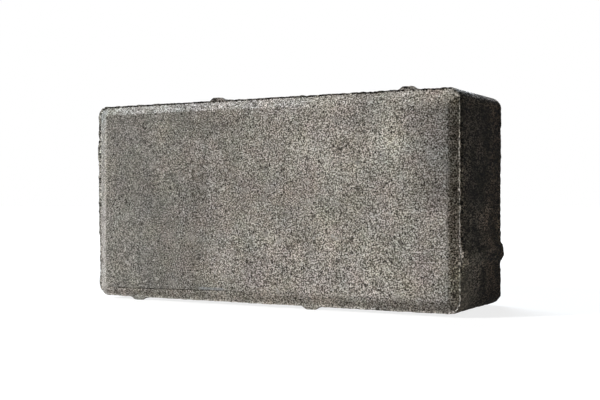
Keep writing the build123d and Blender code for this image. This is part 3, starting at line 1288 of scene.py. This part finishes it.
scuff = product(from_to(place_x, SCUFF_START, RISING), from_to(place_x, SCUFF_END, FALLING), on_front)
from_scuff = away_from(place_z, SCUFF_HEIGHT)
scuff = product(scuff, from_to(from_scuff, (SCUFF_HALF / 2, SCUFF_HALF), SCUFF_SHARES))
colour = blend(scuff, colour, SCUFF_COLOUR)
print("scuff, mm:", round((SCUFF_END[1] - SCUFF_START[0]) / MM))

# %% [markdown]
# ## Hollows, gloss and the finest relief
#
# Dirt gathers in hollows, dry concrete hardly shines, and grains finer than the net still catch the
# light. Each point of the net carries how hollow it is, and that darkens the colour, as dirt and as painted
# shade. Relief finer than a square of the net could be made by dividing the squares again, at a great cost.
# It goes into bump nodes instead, which turn the light without more points.

# %% Finish the concrete
HOLLOW_DIRT_AND_SHADE_TONES = (1.05, 0.6)
MATT = (0.98, 0.88)  # roughness, from grain to grain
GLOSS = 0.06
GRAIN_BUMP = 0.24 * MM
GRAIN_STRENGTHS = (0.5, 1.0)  # off the bevel and on it
SIDE_BUMP = 0.3 * MM
SIDE_LUMP = 1.3 * MM

# hollows are painted darker, as dirt and as painted shade
colour = scaled(colour, from_to(mask_on("hollow"), RISING, HOLLOW_DIRT_AND_SHADE_TONES))
tree.links.new(colour, shader.inputs["Base Color"])
tree.links.new(from_to(grain_random[0], RISING, MATT), shader.inputs["Roughness"])
shader.inputs["Specular IOR Level"].default_value = GLOSS
grain_bump = add_node(tree, "ShaderNodeBump", {
    "Height": grain_distance,
    "Distance": -GRAIN_BUMP,
    "Strength": from_to(bevel_skin, RISING, GRAIN_STRENGTHS),
})
side_bump = add_node(tree, "ShaderNodeBump", {
    "Height": clouds(place, SIDE_LUMP, detail=2),
    "Distance": SIDE_BUMP,
    "Strength": side_wall,
    "Normal": grain_bump.outputs["Normal"],
})
tree.links.new(side_bump.outputs["Normal"], shader.inputs["Normal"])
print("nodes in the concrete:", len(tree.nodes))

# %% [markdown]
# ## Light
#
# Low sun-like light comes from the front left, so the left bevel is bright and the right end lies in
# shade. One lamp alone would leave the back black when the stone is turned round, so a broad, weaker lamp
# stands behind it. A cool one hangs high at the left behind, like a skylight, and draws a pale line along
# the top of the right end. Sun lamps are used because their light is the same all over a small object.

# %% Hang the lamps
SKY_BLUE = (0.78, 0.89, 1.0)
WHITE = (1.0, 1.0, 1.0)
LAMPS = {
    "key_lamp": ((-0.70, -0.56, 0.43), 5.0, 9, WHITE),
    "fill_lamp": ((-0.55, 0.75, 0.37), 1.0, 60, WHITE),
    "sky_lamp": ((-0.464, 0.482, 0.743), 3.2, 36, SKY_BLUE),
}  # where it hangs, as a direction from the stone, its strength, its width in degrees, and its colour


def aim(lamp, away):
    """Turns a lamp so that its back points the way given."""
    lamp.rotation_euler = Vector(away).to_track_quat("Z", "Y").to_euler()
    bpy.context.scene.collection.objects.link(lamp)


for name, (direction, strength, width, lamp_colour) in LAMPS.items():
    lamp_data = bpy.data.lights.new(name, "SUN")
    lamp_data.energy = strength
    lamp_data.angle = math.radians(width)
    lamp_data.color = lamp_colour
    aim(bpy.data.objects.new(name, lamp_data), direction)
    print(name, "strength", strength)

# %% [markdown]
# ## A card at the right
#
# The lower front of the right end is a little lighter than shade alone would leave it, as when a small
# pale card lies near. A white card in the scene would need light of its own and would show. A small area
# lamp in its place gives the same light, and the camera doesn't see it.

# %% Set up a small card low at the right
CARD_PLACE = Vector((134 * MM, -32 * MM, 4 * MM))
CARD_AIM = Vector((100 * MM, -22 * MM, 22 * MM))
CARD_SIZE = 16 * MM
CARD_POWER = 0.0021  # watts, as a card throws back only a little light

card_data = bpy.data.lights.new("bounce_card", "AREA")
card_data.energy = CARD_POWER
card_data.size = CARD_SIZE
card = bpy.data.objects.new("bounce_card", card_data)
card.location = CARD_PLACE
card.visible_camera = False
aim(card, CARD_PLACE - CARD_AIM)
print("card power, W:", CARD_POWER)

# %% [markdown]
# ## Floor and backdrop
#
# The stone stands on a pale floor before a white backdrop. If both were lit until they showed white, they
# would throw that light back on the stone and wash out its shaded end. So the camera sees a white floor
# that keeps the stone's shadow, and light on its way between surfaces meets a dull one. The world does
# the same.

# %% Surfaces that the camera sees as white


def seen_or_bounced(tree, bounced, seen, output):
    """Shows one shader to the camera, mirrors and glass, and another to light between surfaces."""
    path = add_node(tree, "ShaderNodeLightPath").outputs
    glossy = {0: path["Is Glossy Ray"], 1: path["Is Transmission Ray"]}
    mirrored = add_node(tree, "ShaderNodeMath", glossy, operation="MAXIMUM").outputs[0]
    either = {0: path["Is Camera Ray"], 1: mirrored}
    share = add_node(tree, "ShaderNodeMath", either, operation="MAXIMUM").outputs[0]
    choice = add_node(tree, "ShaderNodeMixShader", {0: share, 1: bounced, 2: seen})
    add_node(tree, output, {"Surface": choice.outputs[0]})


def bare_tree(owner):
    """An empty node tree on a material or a world."""
    owner.use_nodes = True
    owner.node_tree.nodes.clear()
    return owner.node_tree


paper = bpy.data.materials.new("floor_paper")
floor_tree = bare_tree(paper)
print("floor material:", paper.name)

# %% Lay the floor
FLOOR_REACH = 4.0  # metres each way
FLOOR_GLOW = 0.82
FLOOR_LIT = (0.24, 0.24, 0.24, 1)
FLOOR_BOUNCE = (0.185, 0.165, 0.14, 1)

bounce = add_node(floor_tree, "ShaderNodeBsdfDiffuse", {"Color": FLOOR_BOUNCE}).outputs[0]
lit = add_node(floor_tree, "ShaderNodeBsdfDiffuse", {"Color": FLOOR_LIT}).outputs[0]
glow = add_node(floor_tree, "ShaderNodeEmission", {"Strength": FLOOR_GLOW}).outputs[0]
white = add_node(floor_tree, "ShaderNodeAddShader", {0: lit, 1: glow}).outputs[0]
seen_or_bounced(floor_tree, bounce, white, "ShaderNodeOutputMaterial")

floor_corners = [(FLOOR_REACH * x, FLOOR_REACH * y, 0) for x, y in ((-1, -1), (1, -1), (1, 1), (-1, 1))]
floor_mesh = bpy.data.meshes.new("floor")
floor_mesh.from_pydata(floor_corners, [], [(0, 1, 2, 3)])
floor_mesh.materials.append(paper)
floor = bpy.data.objects.new("floor", floor_mesh)
bpy.context.scene.collection.objects.link(floor)
print("floor, m:", 2 * FLOOR_REACH)

# %% Hang the backdrop
WORLD_LIGHT = 0.015
BACKDROP = (*WHITE, 1)

world = bpy.data.worlds.new("studio")
bpy.context.scene.world = world
world_tree = bare_tree(world)
dim = add_node(world_tree, "ShaderNodeBackground", {"Color": BACKDROP, "Strength": WORLD_LIGHT}).outputs[0]
bright = add_node(world_tree, "ShaderNodeBackground", {"Color": BACKDROP, "Strength": 1.0}).outputs[0]
seen_or_bounced(world_tree, dim, bright, "ShaderNodeOutputWorld")
bpy.context.scene.view_settings.view_transform = "Standard"
print("world light:", WORLD_LIGHT)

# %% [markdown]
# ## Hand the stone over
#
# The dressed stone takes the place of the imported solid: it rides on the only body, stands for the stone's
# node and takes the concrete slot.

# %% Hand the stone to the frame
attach(stone, "root")
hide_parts(STONE_NODE)
bpy.context.view_layer.update()
